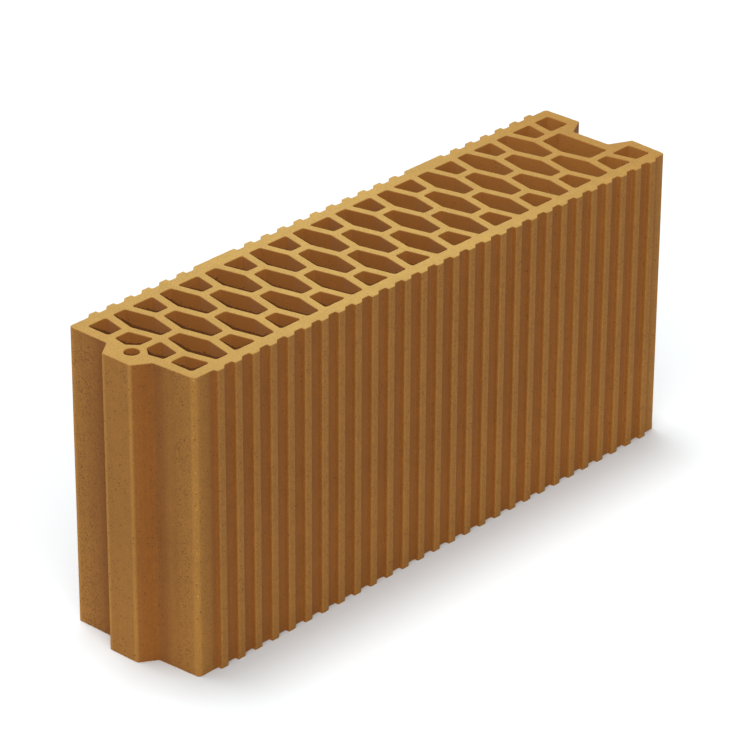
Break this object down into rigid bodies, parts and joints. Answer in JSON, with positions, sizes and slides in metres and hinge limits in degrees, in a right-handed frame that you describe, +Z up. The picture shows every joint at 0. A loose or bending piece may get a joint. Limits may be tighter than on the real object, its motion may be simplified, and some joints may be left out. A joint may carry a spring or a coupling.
{
  "type": "hollow clay block",
  "caption": "Hollow clay wall block with a honeycomb of upright cells, ribbed long sides, a tongue on one end and a groove on the other.",
  "frame": {"origin": "middle of the bottom face, half way between the two end faces, the tongue left out", "axes": "+X from the tongue end to the groove end, +Y from the evenly ribbed front to the back with the two wide bands, +Z up along the cells"},
  "size_m": [0.5128, 0.1234, 0.23],
  "materials": {
    "fired_clay": "unglazed, matte, fine sandy grain"
  },
  "bodies": {
    "root": {"clay_block": "fired_clay"}
  },
  "joints": []
}
